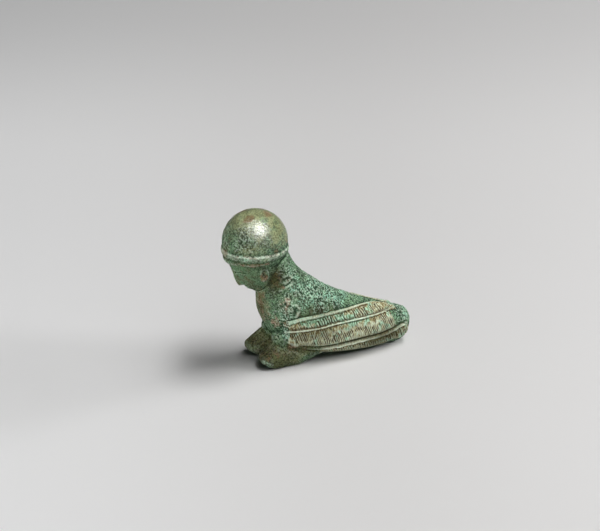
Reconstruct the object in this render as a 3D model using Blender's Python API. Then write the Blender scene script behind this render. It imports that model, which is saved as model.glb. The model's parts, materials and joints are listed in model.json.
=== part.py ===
# A small solid-cast bronze siren: a woman's head on the body of a bird, resting on its two feet
# and the underside of its tail. It faces -Y, its left side is +X, and the ground is z = 0.
# The origin is the middle of the figure's length, on the ground.

import math

import bmesh
import bpy
from mathutils import Matrix, Vector
from mathutils.bvhtree import BVHTree

for old in list(bpy.data.objects):
    bpy.data.objects.remove(old, do_unlink=True)

# Driving size, in metres. The figure is drawn in modules, 38 of them to its height.
figure_height = 0.038
modules_tall = 38.0
module = figure_height / modules_tall

# Body, in modules. Each row is one cross-section from the neck down and back to the tail: the
# point where it meets the throat, breast or belly (y, z), the point where it meets the nape or
# back (y, z), its half-width, how far up it is widest, and how full it is above and below that.
body_sections = (
    (-3.6, 24.0, 3.6, 27.0, 4.3, 0.50, 1.00, 1.00),
    (-3.6, 20.0, 4.9, 24.2, 4.5, 0.50, 1.00, 1.00),
    (-3.4, 17.2, 6.9, 21.4, 4.9, 0.50, 1.00, 1.00),
    (-3.2, 14.8, 9.3, 19.3, 5.9, 0.45, 0.92, 1.00),
    (-2.9, 12.4, 12.1, 17.3, 6.8, 0.42, 0.86, 1.05),
    (-2.0, 9.6, 15.2, 15.5, 7.2, 0.38, 0.86, 1.15),
    (-0.2, 6.6, 18.3, 14.0, 7.3, 0.36, 0.88, 1.30),
    (4.0, 3.6, 21.4, 12.4, 7.2, 0.34, 0.90, 1.45),
    (10.5, 1.7, 24.4, 11.1, 6.9, 0.34, 0.92, 1.55),
    (17.5, 0.9, 27.0, 10.1, 6.2, 0.36, 0.95, 1.55),
    (24.0, 0.3, 29.5, 9.3, 5.0, 0.42, 1.00, 1.40),
    (28.4, -0.2, 31.9, 8.6, 3.8, 0.48, 1.00, 1.15),
)
neck_cap_length = 1.0
tail_cap_length = 3.6
body_rings = 44
body_sides = 36
cap_rings = 4

# Head, in modules.
skull_centre = (0.0, -3.75, 30.35)
skull_half_axes = (6.95, 7.65, 7.65)
fillet_height = 28.7
fillet_proud = -0.30
fillet_half_depth = 0.72
fillet_half_height = 0.95
hair_roll_height = 27.2
hair_roll_rise = 0.28
hair_roll_proud = -0.25
hair_roll_half_depth = 0.75
hair_roll_half_height = 1.15
hair_roll_side_share = 0.45
hair_roll_spread = 1.3
roll_sides = 8
roll_steps = 36

# Face, in modules, on its own axes: it bows forward from the jaw's hinge, levels run up from
# under the chin, and depths run forward.
face_bow = math.radians(33)
face_root = (0.0, -0.3, 19.3)
face_length = 13.6
face_half_width = 5.7
face_depth = 5.2
brow_level = 9.1
eye_level = 8.0
eye_offset = 2.25
eye_half_width = 1.35
eye_half_height = 0.62
eye_bulge = 0.55
nose_base_level = 4.7
nose_root_height = 0.30
nose_height = 0.95
nose_arch = 1.35
nose_root_width = 0.50
nose_spread = 0.42
nose_underside = 0.15
mouth_level = 3.1
face_fullness = 0.62
face_level_spread = 0.85
jaw_narrowing = 0.34
jaw_share = 0.50
relief_edge = 1.6

# Soft hills and hollows of the face: how far each stands out, its level and how far it reaches
# up and down, its offset from the middle and how far it reaches sideways.
face_hills = (
    (0.30, brow_level, 0.55, 2.1, 1.90),
    (-0.55, eye_level, 0.95, eye_offset, 1.35),
    (0.40, mouth_level + 0.42, 0.36, 0.0, 1.35),
    (0.44, mouth_level - 0.48, 0.42, 0.0, 1.20),
    (-0.18, mouth_level, 0.22, 0.0, 1.35),
    (0.40, 1.1, 0.90, 0.0, 1.30),
    (0.20, 5.0, 1.50, 2.9, 1.20),
)
ear_centre = (5.2, -3.9, 23.9)
ear_half_axes = (0.75, 1.3, 1.9)

# Legs and feet, in modules, one of each side. Each row of the foot is one cross-section from
# the toes back to the heel: y, the middle's x, half-width, the sole's height and the top's height.
leg_centre = (3.9, 2.7, 6.2)
leg_half_axes = (2.8, 3.2, 4.6)
foot_sections = (
    (-3.3, 4.1, 1.8, 1.5, 3.8),
    (-2.4, 4.1, 2.3, 0.7, 4.6),
    (-1.0, 4.1, 2.5, 0.0, 5.8),
    (0.6, 4.1, 2.6, 0.0, 7.0),
    (2.6, 4.0, 2.5, 0.0, 7.4),
    (4.8, 3.9, 2.4, 0.0, 6.6),
    (7.2, 3.8, 2.2, 0.8, 5.2),
    (9.6, 3.6, 1.9, 1.6, 4.2),
)
toe_cap_length = 0.6
heel_cap_length = 1.6
foot_widest = 0.42
sole_flatness = 1.25
foot_rings = 18
foot_sides = 18

# Folded wings, in modules. Each lies on its flank in three bands of feathers, and a raised ridge
# runs along the top of each band. A row gives a place along the body (y) and the angles, in
# degrees above the level, at which the lower, middle and upper ridge are seen from the body's axis.
wing_lines = (
    (0.8, -26, 10, 26),
    (5.0, -25, 13, 31),
    (9.0, -23, 16, 35),
    (13.0, -18, 22, 41),
    (17.0, -13, 27, 49),
    (21.0, -9, 33, 62),
    (25.0, -6, 43, 76),
    (29.0, 4, 60, 81),
    (33.0, 26, 74, 84),
)
wing_front = 0.8
wing_tips = (32.6, 28.0, 29.8)
wing_columns = 28
wing_end_fade = 1.0
wing_front_margin = 0.4
wing_tip_margin = 0.1
wing_lower_edge = -50
wing_edge_rise = 5
wing_edge_depth = 0.30
flank_axis_front = 8.2
flank_axis_fall = 0.11
feather_thickness = 0.32
ridge_proud = 0.40
ridge_half_width = 0.45
ridge_foot_depth = 0.05
groove_half_width = 0.35
groove_depth = 0.12
lowest_ridge_drop = 1.6
faded_depth = 0.15
wing_root_depth = 1.4
beyond_flank = 30.0


def spline(rows, at):
    # A smooth curve through evenly spaced rows of numbers, read at a place from 0 to the last.
    last = len(rows) - 1
    place = min(max(at, 0.0), float(last))
    low = min(int(place), last - 1)
    share = place - low
    before = rows[max(low - 1, 0)]
    start = rows[low]
    end = rows[low + 1]
    after = rows[min(low + 2, last)]
    result = []
    for a, b, c, d in zip(before, start, end, after):
        bend = 2 * a - 5 * b + 4 * c - d
        twist = 3 * b - a - 3 * c + d
        result.append(b + 0.5 * share * (c - a + share * (bend + share * twist)))
    return result


def bump(distance, reach):
    # A soft hill: 1 at no distance, almost 0 at twice the reach.
    return math.exp(-((distance / reach) ** 2))


def new_sphere(sides, rings):
    shape = bmesh.new()
    bmesh.ops.create_uvsphere(shape, u_segments=sides, v_segments=rings, radius=1.0)
    return shape


def body_point(ring, turn):
    # The surface of the swept body. Ring runs from 0 at the neck to body_rings at the tail, and
    # turn runs round the section from the back (0) over the left flank to the belly (pi).
    sections = len(body_sections) - 1
    if ring < cap_rings:
        size = math.sin(0.5 * math.pi * ring / cap_rings)
        reach = -neck_cap_length * math.cos(0.5 * math.pi * ring / cap_rings)
        at = 0.0
    elif ring > body_rings - cap_rings:
        size = math.sin(0.5 * math.pi * (body_rings - ring) / cap_rings)
        reach = tail_cap_length * math.cos(0.5 * math.pi * (body_rings - ring) / cap_rings)
        at = float(sections)
    else:
        size = 1.0
        reach = 0.0
        at = sections * (ring - cap_rings) / (body_rings - 2 * cap_rings)
    low_y, low_z, high_y, high_z, half_width, widest, above, below = spline(body_sections, at)
    low = Vector((0.0, low_y, low_z))
    high = Vector((0.0, high_y, high_z))
    middle = low.lerp(high, widest)
    centre = low.lerp(high, 0.5)
    across = (high - low).normalized()
    onward = Vector((0.0, across.z, -across.y))
    rise = math.cos(turn)
    side = math.sin(turn)
    if rise >= 0.0:
        point = middle.lerp(high, rise)
        width = half_width * math.copysign(abs(side) ** (1.0 / above), side)
    else:
        point = middle.lerp(low, -rise)
        width = half_width * math.copysign(abs(side) ** (1.0 / below), side)
    point = centre + (point - centre) * size + onward * reach
    point.x = width * size
    return point


def body_shape():
    shape = new_sphere(body_sides, body_rings)
    for vert in shape.verts:
        ring = body_rings * math.acos(max(-1.0, min(1.0, vert.co.z))) / math.pi
        turn = math.atan2(vert.co.x, vert.co.y)
        vert.co = body_point(round(ring), turn)
        vert.co.z = max(0.0, vert.co.z)
    return shape


def ellipsoid(centre, half_axes, sides, rings):
    shape = new_sphere(sides, rings)
    bmesh.ops.scale(shape, vec=half_axes, verts=shape.verts)
    bmesh.ops.translate(shape, vec=centre, verts=shape.verts)
    return shape


def ring_round_skull(height, half_depth, half_height, proud, sides, steps):
    # A roll that follows the skull at one height. Each of its three size functions takes the
    # angle from the front of the head, 0 to pi.
    shape = bmesh.new()
    spin_radius = 10
    section = bmesh.ops.create_circle(shape, segments=sides, radius=1.0, cap_ends=False)
    bmesh.ops.rotate(
        shape, verts=section["verts"], cent=(0, 0, 0), matrix=Matrix.Rotation(math.pi / 2, 3, "X")
    )
    bmesh.ops.translate(shape, verts=section["verts"], vec=(spin_radius, 0, 0))
    bmesh.ops.spin(
        shape, geom=shape.verts[:] + shape.edges[:], cent=(0, 0, 0), axis=(0, 0, 1),
        dvec=(0, 0, 0), angle=math.tau, steps=steps, use_merge=True, use_duplicate=False,
    )
    for vert in shape.verts:
        angle = math.atan2(vert.co.x, -vert.co.y)
        off = abs(angle)
        out = math.hypot(vert.co.x, vert.co.y) - spin_radius
        level = height(off) + vert.co.z * half_height(off)
        lift = (height(off) - skull_centre[2]) / skull_half_axes[2]
        girth = math.sqrt(max(0.0, 1 - lift * lift))
        reach = proud(off) + out * half_depth(off)
        vert.co.x = (skull_half_axes[0] * girth + reach) * math.sin(angle)
        vert.co.y = skull_centre[1] - (skull_half_axes[1] * girth + reach) * math.cos(angle)
        vert.co.z = level
    bmesh.ops.recalc_face_normals(shape, faces=shape.faces)
    return shape


def fillet_shape():
    return ring_round_skull(
        lambda off: fillet_height,
        lambda off: fillet_half_depth,
        lambda off: fillet_half_height,
        lambda off: fillet_proud,
        roll_sides, roll_steps,
    )


def hair_roll_shape():
    # The hair bulges under the fillet over the forehead, and thins and rises towards the ears.
    def fullness(off):
        return hair_roll_side_share + (1 - hair_roll_side_share) * bump(off, hair_roll_spread)

    return ring_round_skull(
        lambda off: hair_roll_height + hair_roll_rise * (1 - bump(off, hair_roll_spread)),
        lambda off: hair_roll_half_depth * fullness(off),
        lambda off: hair_roll_half_height * fullness(off),
        lambda off: hair_roll_proud,
        roll_sides, roll_steps,
    )


def face_relief(across, level):
    # How far the features stand out of the face's plain egg, in modules.
    off = abs(across)
    relief = 0.0
    for height, at, reach, offset, width in face_hills:
        relief += height * bump(level - at, reach) * bump(off - offset, width)
    lid_x = (off - eye_offset) / eye_half_width
    lid_z = (level - eye_level) / eye_half_height
    relief += eye_bulge * math.sqrt(max(0.0, 1 - lid_x * lid_x - lid_z * lid_z))
    fall = (brow_level - level) / (brow_level - nose_base_level)
    if 0.0 < fall < 1 + nose_underside:
        bridge = nose_height * math.sin(nose_arch * min(fall, 1.0))
        bridge *= min(1.0, (1 + nose_underside - fall) / nose_underside)
        relief += (nose_root_height + bridge) * bump(off, nose_root_width + nose_spread * fall)
    return relief


def face_shape():
    shape = new_sphere(36, 30)
    bow = Matrix.Rotation(face_bow, 3, "X")
    for vert in shape.verts:
        high = math.copysign(abs(vert.co.z) ** face_level_spread, vert.co.z)
        level = face_length * 0.5 * (1 + high)
        jaw = 1.0 - jaw_narrowing * max(0.0, 1 - level / (jaw_share * face_length))
        girth = math.hypot(vert.co.x, vert.co.y)
        fuller = girth ** face_fullness / max(girth, 1e-6)
        across = vert.co.x * fuller * face_half_width * jaw
        ahead = -vert.co.y * fuller
        depth = ahead * face_depth
        if ahead > 0:
            depth += face_relief(across, level) * min(1.0, relief_edge * ahead)
        vert.co = bow @ Vector((across, -depth, level))
    bmesh.ops.translate(shape, vec=face_root, verts=shape.verts)
    return shape


def foot_shape():
    shape = new_sphere(foot_sides, foot_rings)
    sections = len(foot_sections) - 1
    for vert in shape.verts:
        ring = round(foot_rings * math.acos(max(-1.0, min(1.0, vert.co.z))) / math.pi)
        turn = math.atan2(vert.co.x, vert.co.y)
        inner = foot_rings - 2 * cap_rings
        at = sections * min(max(ring - cap_rings, 0), inner) / inner
        size = math.sin(0.5 * math.pi * min(ring, foot_rings - ring, cap_rings) / cap_rings)
        y, x, half_width, sole, top = spline(foot_sections, at)
        if ring < cap_rings:
            y -= toe_cap_length * math.sqrt(1 - size * size)
        elif ring > foot_rings - cap_rings:
            y += heel_cap_length * math.sqrt(1 - size * size)
        middle = sole + foot_widest * (top - sole)
        rise = math.cos(turn)
        if rise >= 0:
            z = middle + (top - middle) * rise * size
        else:
            z = middle - (middle - sole) * min(1.0, -sole_flatness * rise) * size
        vert.co = (x + half_width * math.sin(turn) * size, y, max(0.0, z))
    bmesh.ops.recalc_face_normals(shape, faces=shape.faces)
    return shape


def at_place(rows, y):
    # Reads rows that start with a place along the body, smoothly between evenly spaced places.
    place = 0.0
    for low, high in zip(rows, rows[1:]):
        if y > low[0]:
            place += min(1.0, (y - low[0]) / (high[0] - low[0]))
    return spline(rows, place)


def wing_rows(y, reach):
    # The angle and the height over the flank of each row of points across the wing at one place,
    # from its lower edge to its upper edge. Reach is how far out the flank lies.
    per_module = math.degrees(1.0 / reach)
    lower, middle, upper = at_place(wing_lines, y)[1:]
    ridge = ridge_half_width * per_module
    groove = groove_half_width * per_module
    fades = [
        max(0.0, min(1.0, (y - wing_front) / wing_end_fade, (tip - y) / wing_end_fade))
        for tip in wing_tips
    ]
    base = [feather_thickness * fade - faded_depth * (1 - fade) for fade in fades]
    crest = [level + ridge_proud * fade for level, fade in zip(base, fades)]
    lowest = lower - lowest_ridge_drop * groove
    return (
        (wing_lower_edge, -wing_edge_depth),
        (wing_lower_edge + wing_edge_rise, 0.5 * base[0]),
        (lowest - 2 * ridge, base[0]),
        (lowest - ridge, base[0]),
        (lowest, crest[0]),
        (0.5 * (lowest + lower), base[0]),
        (lower, -groove_depth),
        (lower + groove, base[1]),
        (0.5 * (lower + middle), base[1]),
        (middle - ridge, base[1]),
        (middle, crest[2]),
        (middle + ridge, base[2]),
        (0.5 * (middle + upper), base[2]),
        (upper - ridge, base[2]),
        (upper, crest[2]),
        (upper + ridge, -ridge_foot_depth),
        (upper + 2 * ridge, -wing_edge_depth),
    )


def wing_shape():
    flank = BVHTree.FromBMesh(body_shape())
    rows = len(wing_rows(wing_front, body_sections[0][4])) - 1
    shape = bmesh.new()
    bmesh.ops.create_grid(shape, x_segments=wing_columns, y_segments=rows, size=1.0)
    skin = shape.faces[:]
    places = {}
    start = wing_front - wing_front_margin
    end = max(wing_tips) + wing_tip_margin
    for vert in shape.verts:
        column = round((vert.co.x + 1) * 0.5 * wing_columns)
        row = round((vert.co.y + 1) * 0.5 * rows)
        y = start + (end - start) * column / wing_columns
        axis = Vector((0.0, y, flank_axis_front - flank_axis_fall * y))
        outward = Vector((1.0, 0.0, 0.0))
        reach = flank.ray_cast(axis + beyond_flank * outward, -outward)[0].x
        angle, height = wing_rows(y, reach)[row]
        away = Vector((math.cos(math.radians(angle)), 0.0, math.sin(math.radians(angle))))
        hit = flank.ray_cast(axis + beyond_flank * away, -away)[0]
        places[vert] = (hit, away, height)
    inner = bmesh.ops.duplicate(shape, geom=shape.verts[:] + shape.edges[:] + skin)
    for vert, (hit, away, height) in places.items():
        copy = inner["vert_map"][vert]
        vert.co = hit + away * height
        copy.co = hit - away * wing_root_depth
    rims = [edge for edge in shape.edges if edge.is_boundary]
    bmesh.ops.bridge_loops(shape, edges=rims)
    bmesh.ops.recalc_face_normals(shape, faces=shape.faces)
    return shape


def mirrored(shape):
    copy = shape.copy()
    bmesh.ops.scale(copy, vec=(-1, 1, 1), verts=copy.verts)
    bmesh.ops.reverse_faces(copy, faces=copy.faces)
    return copy


def bronze_material():
    material = bpy.data.materials.new("green bronze")
    material.use_nodes = True
    surface = material.node_tree.nodes["Principled BSDF"]
    surface.inputs["Base Color"].default_value = (0.10, 0.20, 0.13, 1.0)
    surface.inputs["Metallic"].default_value = 0.35
    surface.inputs["Roughness"].default_value = 0.55
    return material


def add_object(name, shape, middle, helper):
    # The figure is drawn from between its feet, and set down with the origin under its middle.
    bmesh.ops.translate(shape, vec=(0, -middle, 0), verts=shape.verts)
    bmesh.ops.scale(shape, vec=(module, module, module), verts=shape.verts)
    mesh = bpy.data.meshes.new(name)
    shape.to_mesh(mesh)
    shape.free()
    mesh.shade_smooth()
    result = bpy.data.objects.new(name, mesh)
    bpy.context.scene.collection.objects.link(result)
    if helper:
        result.hide_render = True
        result.display_type = "WIRE"
    return result


def siren_statuette():
    ear = ellipsoid(ear_centre, ear_half_axes, 12, 8)
    leg = ellipsoid(leg_centre, leg_half_axes, 20, 12)
    foot = foot_shape()
    wing = wing_shape()
    body = body_shape()
    fused_forms = {
        "skull": ellipsoid(skull_centre, skull_half_axes, 32, 20),
        "face": face_shape(),
        "fillet": fillet_shape(),
        "hair roll": hair_roll_shape(),
        "right ear": mirrored(ear),
        "left ear": ear,
        "right leg": mirrored(leg),
        "left leg": leg,
        "right foot": mirrored(foot),
        "left foot": foot,
        "right wing": mirrored(wing),
        "left wing": wing,
    }
    places = [vert.co.y for form in [body, *fused_forms.values()] for vert in form.verts]
    middle = 0.5 * (min(places) + max(places))
    statuette = add_object("siren_statuette", body, middle, helper=False)
    statuette.data.materials.append(bronze_material())
    for form_name, form in fused_forms.items():
        union = statuette.modifiers.new(form_name, "BOOLEAN")
        union.operation = "UNION"
        union.object = add_object(form_name, form, middle, helper=True)


siren_statuette()
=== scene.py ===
import json
import math
from functools import partialmethod
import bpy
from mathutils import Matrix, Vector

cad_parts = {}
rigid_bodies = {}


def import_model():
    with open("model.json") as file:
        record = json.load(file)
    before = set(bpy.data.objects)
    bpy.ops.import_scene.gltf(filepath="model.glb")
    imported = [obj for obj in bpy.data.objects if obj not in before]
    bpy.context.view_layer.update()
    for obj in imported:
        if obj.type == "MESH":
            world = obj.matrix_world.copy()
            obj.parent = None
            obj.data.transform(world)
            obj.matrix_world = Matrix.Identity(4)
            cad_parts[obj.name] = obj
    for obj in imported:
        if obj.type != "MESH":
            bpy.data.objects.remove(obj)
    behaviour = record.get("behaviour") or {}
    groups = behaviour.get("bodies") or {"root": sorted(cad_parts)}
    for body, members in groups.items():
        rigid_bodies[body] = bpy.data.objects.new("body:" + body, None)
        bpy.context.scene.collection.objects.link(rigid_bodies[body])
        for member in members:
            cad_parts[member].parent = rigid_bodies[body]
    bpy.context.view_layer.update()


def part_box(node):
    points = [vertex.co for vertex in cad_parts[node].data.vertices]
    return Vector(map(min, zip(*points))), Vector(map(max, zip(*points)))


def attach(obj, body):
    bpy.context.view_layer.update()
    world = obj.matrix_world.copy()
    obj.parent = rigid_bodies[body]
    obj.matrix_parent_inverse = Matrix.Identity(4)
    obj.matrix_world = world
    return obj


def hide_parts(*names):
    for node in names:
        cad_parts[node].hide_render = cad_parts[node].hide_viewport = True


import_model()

from types import SimpleNamespace

import bmesh
import bpy
import numpy as np
from mathutils import Matrix, Vector, noise
from mathutils.bvhtree import BVHTree

lowCorner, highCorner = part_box("siren_statuette")
scene = bpy.context.scene
noise.seed_set(1)  # without a seed, noise_vector changes with the time of day
print("frame loaded")

# The figure is drawn in modules, from the ground between its feet, facing -Y.
figure = SimpleNamespace(
    modulesTall=38.0,
    frontReach=11.64,  # from between the feet forward to the fillet
    skinGrain=0.265,  # edge length of the remeshed skin
    softenings=2,
    leastEdge=0.03,  # shorter edges are closed up
)
module = (highCorner.z - lowCorner.z) / figure.modulesTall
feetY = lowCorner.y + figure.frontReach * module


def spline(rows, at):  # smooth curve through evenly spaced rows, read from 0 to the last
    last = len(rows) - 1
    place = min(max(at, 0.0), float(last))
    low = min(int(place), last - 1)
    share = place - low
    before, start, end, after = rows[max(low - 1, 0)], rows[low], rows[low + 1], rows[min(low + 2, last)]
    result = []
    for a, b, c, d in zip(before, start, end, after):
        bend = 2 * a - 5 * b + 4 * c - d
        twist = 3 * b - a - 3 * c + d
        result.append(b + 0.5 * share * (c - a + share * (bend + share * twist)))
    return result


def bump(distance, reach):  # 1 at no distance, almost 0 at twice the reach
    return math.exp(-((distance / reach) ** 2))


def bumps(values, place, reach):  # the same for an array of numbers, round a place
    return np.exp(-((values - place) / reach) ** 2)


def varied(pair, by):  # a mean, and how far it varies
    return pair[0] + pair[1] * by


def smoothStep(low, high, value):
    share = max(0.0, min(1.0, (value - low) / (high - low)))
    return share * share * (3 - 2 * share)


def newSphere(sides, rings):
    shape = bmesh.new()
    bmesh.ops.create_uvsphere(shape, u_segments=sides, v_segments=rings, radius=1.0)
    return shape


def onSphere(vert):  # how far down a unit sphere a point lies, from 0 to 1, and its turn round it
    return math.acos(max(-1.0, min(1.0, vert.co.z))) / math.pi, math.atan2(vert.co.x, vert.co.y)


def capped(share, cap, sections):  # place among the sections, then size and reach in the end caps
    closing = 0.5 * math.pi * min(1.0, share / cap, (1 - share) / cap)
    at = sections * min(1.0, max(0.0, (share - cap) / (1 - 2 * cap)))
    return at, math.sin(closing), math.cos(closing)


def newObject(shape, name):
    mesh = bpy.data.meshes.new(name)
    shape.to_mesh(mesh)
    shape.free()
    result = bpy.data.objects.new(name, mesh)
    scene.collection.objects.link(result)
    return result


def evaluatedMesh(thing):
    bpy.context.view_layer.update()
    view = bpy.context.evaluated_depsgraph_get()
    return bpy.data.meshes.new_from_object(thing.evaluated_get(view))


# Body: each row is one cross-section from the neck to the tail. It gives the low point (y, z),
# the high point (y, z), the half-width, how far up it is widest, and its fullness above and below.
body = SimpleNamespace(
    sections=(
        (-3.6, 24.0, 3.6, 27.0, 4.3, 0.50, 1.00, 1.00),
        (-4.0, 20.0, 4.9, 24.2, 4.5, 0.50, 1.00, 1.00),
        (-3.9, 17.2, 7.0, 21.5, 4.9, 0.50, 1.00, 1.00),
        (-3.7, 14.8, 9.4, 19.5, 5.9, 0.45, 0.92, 1.00),
        (-3.3, 12.4, 12.2, 17.4, 6.8, 0.42, 0.86, 1.05),
        (-2.1, 9.6, 15.2, 15.5, 7.2, 0.38, 0.86, 1.15),
        (-0.2, 6.6, 18.3, 14.0, 7.3, 0.36, 0.88, 1.30),
        (4.0, 3.6, 21.4, 12.4, 7.2, 0.34, 0.90, 1.45),
        (10.5, 1.7, 24.4, 11.1, 6.9, 0.34, 0.92, 1.55),
        (17.5, 0.9, 27.0, 10.1, 6.2, 0.36, 0.95, 1.55),
        (24.0, 0.3, 29.5, 9.3, 4.9, 0.42, 1.00, 1.32),
        (28.2, 0.1, 31.9, 8.5, 3.5, 0.48, 1.00, 1.05),
    ),
    neckCap=1.0, tailCap=3.6, capShare=0.09, rings=132, sides=108,
)


def bodyPoint(share, turn):  # share runs from neck to tail, turn from the back over the left flank
    at, size, reach = capped(share, body.capShare, len(body.sections) - 1)
    reach *= body.tailCap if share > 0.5 else -body.neckCap
    lowY, lowZ, highY, highZ, halfWidth, widest, above, below = spline(body.sections, at)
    low, high = Vector((0, lowY, lowZ)), Vector((0, highY, highZ))
    across = (high - low).normalized()
    onward = Vector((0, across.z, -across.y))
    rise, side = math.cos(turn), math.sin(turn)
    middle = low.lerp(high, widest)
    point = middle.lerp(high, rise) if rise >= 0 else middle.lerp(low, -rise)
    fullness = above if rise >= 0 else below
    centre = low.lerp(high, 0.5)
    point = centre + (point - centre) * size + onward * reach
    point.x = size * halfWidth * math.copysign(abs(side) ** (1 / fullness), side)
    point.z = max(0.0, point.z)
    return point


def bodyShape():
    shape = newSphere(body.sides, body.rings)
    for vert in shape.verts:
        vert.co = bodyPoint(*onSphere(vert))
    return shape


# Head: a ball of a skull, a rolled fillet round it and the roll of hair under the fillet.
head = SimpleNamespace(
    centre=(0.0, -4.2, 30.25), halfAxes=(6.95, 7.65, 7.65),
    fillet=SimpleNamespace(
        level=28.6, rise=0.0, proud=-0.38, halfDepth=0.80, halfHeight=1.10, sideShare=1.0,
    ),
    hairRoll=SimpleNamespace(
        level=27.2, rise=0.28, proud=-0.25, halfDepth=0.75, halfHeight=1.15, sideShare=0.45,
    ),
    rollSpread=1.3,  # how far round from the brow a roll stays full, in radians
    rollSides=24, rollSteps=180,
    filletFront=(0.93, 0.05),  # its paint starts here, in shares of the skull's half-axes
    filletTop=(0.42, 0.20),  # place and half-width, in its half-heights
    filletTopShare=1.1, filletShade=(-0.85, 0.35),
    earCentre=(5.2, -3.9, 23.9), earHalfAxes=(0.75, 1.3, 1.9),
    earFrom=4.6,  # carved from here outwards
    earReach=1.3,  # and this far round, in shares of its half-axes
    earRim=(0.26, 0.80, 0.22),  # height, place and half-width
    earBowl=(0.38, 0.45),  # depth and half-width
    earLobe=(0.26, 0.34),  # height and half-width
)


def ellipsoid(centre, halfAxes, sides, rings):
    shape = newSphere(sides, rings)
    bmesh.ops.scale(shape, vec=halfAxes, verts=shape.verts)
    bmesh.ops.translate(shape, vec=centre, verts=shape.verts)
    return shape


def rollShape(roll):  # a roll that follows the skull at one level
    shape = bmesh.new()
    bare = 10
    section = bmesh.ops.create_circle(shape, segments=head.rollSides, radius=1.0, cap_ends=False)["verts"]
    bmesh.ops.rotate(shape, verts=section, cent=(0, 0, 0), matrix=Matrix.Rotation(math.pi / 2, 3, "X"))
    bmesh.ops.translate(shape, verts=section, vec=(bare, 0, 0))
    bmesh.ops.spin(
        shape, geom=shape.verts[:] + shape.edges[:], cent=(0, 0, 0), axis=(0, 0, 1), dvec=(0, 0, 0),
        angle=math.tau, steps=head.rollSteps, use_merge=True, use_duplicate=False,
    )
    for vert in shape.verts:
        angle = math.atan2(vert.co.x, -vert.co.y)
        out = math.hypot(vert.co.x, vert.co.y) - bare
        near = bump(angle, head.rollSpread)
        full = roll.sideShare + (1 - roll.sideShare) * near
        level = roll.level + roll.rise * (1 - near)
        girth = math.sqrt(1 - ((level - head.centre[2]) / head.halfAxes[2]) ** 2)
        reach = roll.proud + out * roll.halfDepth * full
        vert.co.z = level + vert.co.z * roll.halfHeight * full
        vert.co.x = (head.halfAxes[0] * girth + reach) * math.sin(angle)
        vert.co.y = head.centre[1] - (head.halfAxes[1] * girth + reach) * math.cos(angle)
    bmesh.ops.recalc_face_normals(shape, faces=shape.faces)
    return shape


# Face: a calm, worn mask of its own, on an egg that bows forward. Levels run up from under the
# chin, and offsets out from the middle.
face = SimpleNamespace(
    bow=math.radians(33), root=(0.0, -0.3, 19.3), length=13.6, halfWidth=5.7, depth=5.2,
    fullness=0.62, levelSpread=0.85, jawNarrowing=0.34, jawShare=0.50,
    browLevel=9.1,
    browRise=0.30,  # the brow's ridge over that level
    browFall=0.10, browHeight=0.46, browHalfHeight=0.42, browPeak=2.0, browMiddle=2.2, browReach=1.9,
    eyeLevel=8.0, eyeOffset=2.25, eyeHalfWidth=1.40, eyeTilt=0.10,
    eyeShape=0.75,  # under 1 the lids meet more bluntly
    eyeBulge=0.62, eyeReach=0.95,
    eyeRound=0.55,  # share of the bulge that swells under the lids too
    eyeBall=0.45,  # share that shows between them
    upperLid=0.66, lowerLid=0.46, lidHeight=0.28, lidHalfWidth=0.17,
    noseBaseLevel=4.7,
    noseFrom=-0.25,  # above the brow, in shares of the nose's length
    noseRoot=0.30, noseHeight=0.95, noseArch=1.35, noseRootWidth=0.50, noseSpread=0.42,
    noseUnderside=0.15,
    mouthLevel=3.1, mouthHalfWidth=1.75, mouthLift=0.28, mouthCut=0.34, mouthHalfHeight=0.15,
    mouthEnds=(2.1, 1.5),
    turnIn=1.6,  # how soon the relief dies out towards the temples
    maskEdge=(0.25, 0.45), maskReach=(0.55, 0.30),
    fineLevels=(0.4, 11.5), fineDepth=1.6, fineHalfWidth=5.3,
    # height, level, reach up and down, offset, reach sideways
    hills=(
        (-0.55, 8.0, 0.95, 2.25, 1.35),
        (0.42, 3.52, 0.34, 0.0, 1.35),
        (0.48, 2.62, 0.40, 0.0, 1.15),
        (0.42, 1.1, 0.85, 0.0, 1.20),
        (0.22, 5.2, 1.50, 2.9, 1.20),
        (0.26, 4.95, 0.34, 0.85, 0.34),
        (-0.20, 4.05, 0.30, 0.0, 0.28),
        (-0.12, 3.1, 0.30, 1.95, 0.28),
    ),
)


def jawWidth(level):  # share of the half-width that the jaw keeps
    return 1 - face.jawNarrowing * max(0.0, 1 - level / (face.jawShare * face.length))


def eggDepth(across, level):
    height = abs(2 * level / face.length - 1) ** (1 / face.levelSpread)
    girth = max(0.0, 1 - height * height) ** (0.5 * face.fullness)
    halfWidth = face.halfWidth * jawWidth(level)
    return face.depth * math.sqrt(max(0.0, girth ** 2 - (across / halfWidth) ** 2))


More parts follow.
